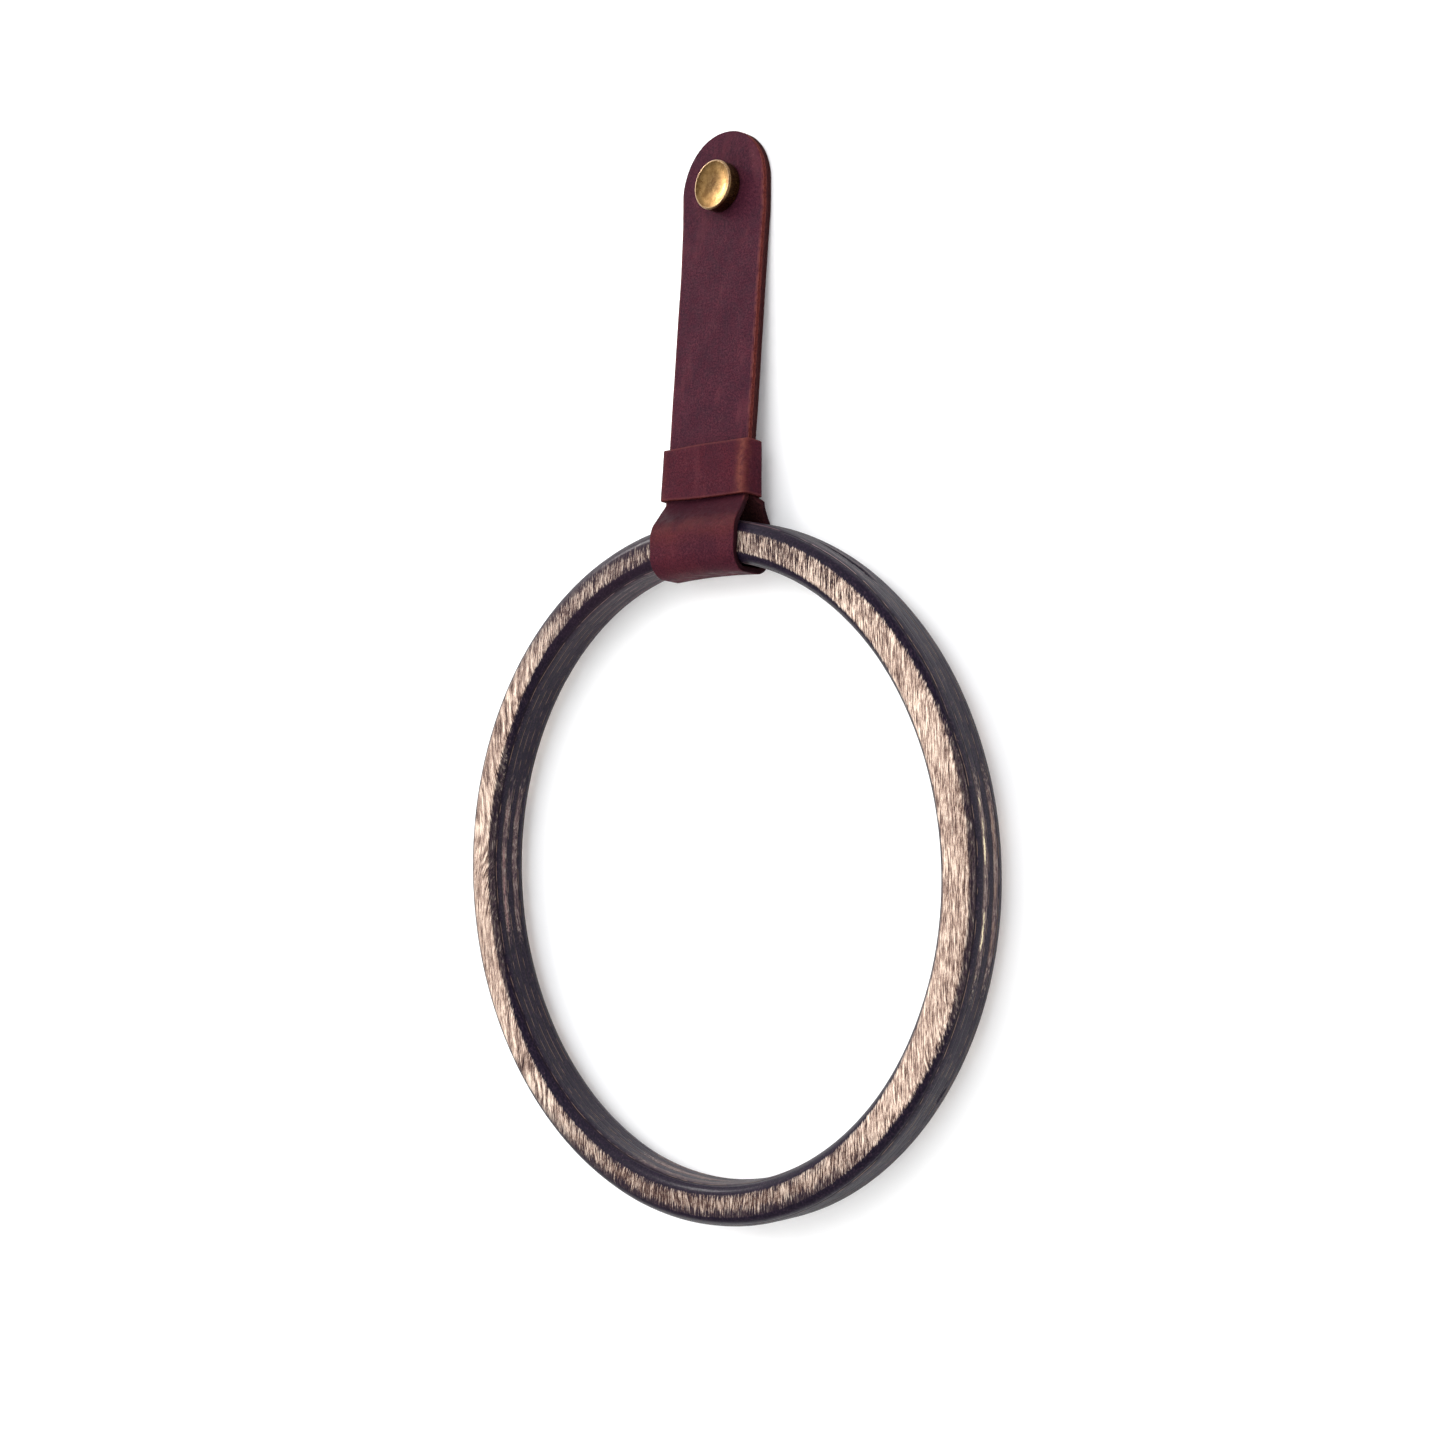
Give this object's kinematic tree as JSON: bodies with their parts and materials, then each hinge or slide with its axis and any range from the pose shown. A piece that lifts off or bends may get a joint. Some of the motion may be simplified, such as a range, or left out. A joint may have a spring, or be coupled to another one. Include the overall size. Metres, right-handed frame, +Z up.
{
  "type": "wall towel ring",
  "caption": "Wall-hung towel ring: a round plywood ring held in the fold of a doubled leather strap, with a sliding keeper band and a dished cap over a hidden screw.",
  "frame": {"origin": "on the wall surface, at the screw axis, where the back of the strap meets the wall", "axes": "+Z up, +Y into the wall along the screw, the front of the object faces -Y"},
  "size_m": [0.2, 0.0526, 0.316],
  "materials": {
    "plywood": "dark walnut stain on plywood, satin lacquer",
    "strap_leather": "oxblood oiled leather, raw edges",
    "keeper_leather": "oxblood oiled leather, lighter at the folds",
    "thread": "waxed thread",
    "brass": "antique brass, satin",
    "seat_brass": "turned brass",
    "zinc_steel": "yellow zinc plate",
    "nylon": "moulded nylon"
  },
  "bodies": {
    "wall_fixing": {"screw": "zinc_steel", "cap_seat": "seat_brass", "wall_plug": "nylon"},
    "cap": {"cap": "brass"},
    "strap": {"strap": "strap_leather"},
    "keeper": {"keeper": "keeper_leather", "keeper_thread": "thread"},
    "strap_loop": {"strap_loop": "strap_leather"},
    "ring": {"ring": "plywood"}
  },
  "joints": [
    {"name": "cap_off", "type": "slide", "parent": "wall_fixing", "child": "cap", "axis": [0, -1, 0], "range_m": [0, 0.008]},
    {"name": "strap_swing", "type": "hinge", "parent": "wall_fixing", "child": "strap", "pos_m": [0, 0, 0], "axis": [0, 1, 0], "range_deg": [-60, 60]},
    {"name": "keeper_slide", "type": "slide", "parent": "strap", "child": "keeper", "axis": [0, 0.084, 0.9965], "range_m": [0, 0.05]},
    {"name": "ring_lift", "type": "hinge", "parent": "strap", "child": "strap_loop", "pos_m": [0, -0.0092, -0.0968], "axis": [-1, 0, 0], "range_deg": [0, 50]},
    {"name": "ring_turn", "type": "hinge", "parent": "strap_loop", "child": "ring", "pos_m": [0, -0.0096, -0.2], "axis": [0, 1, 0], "continuous": true}
  ]
}
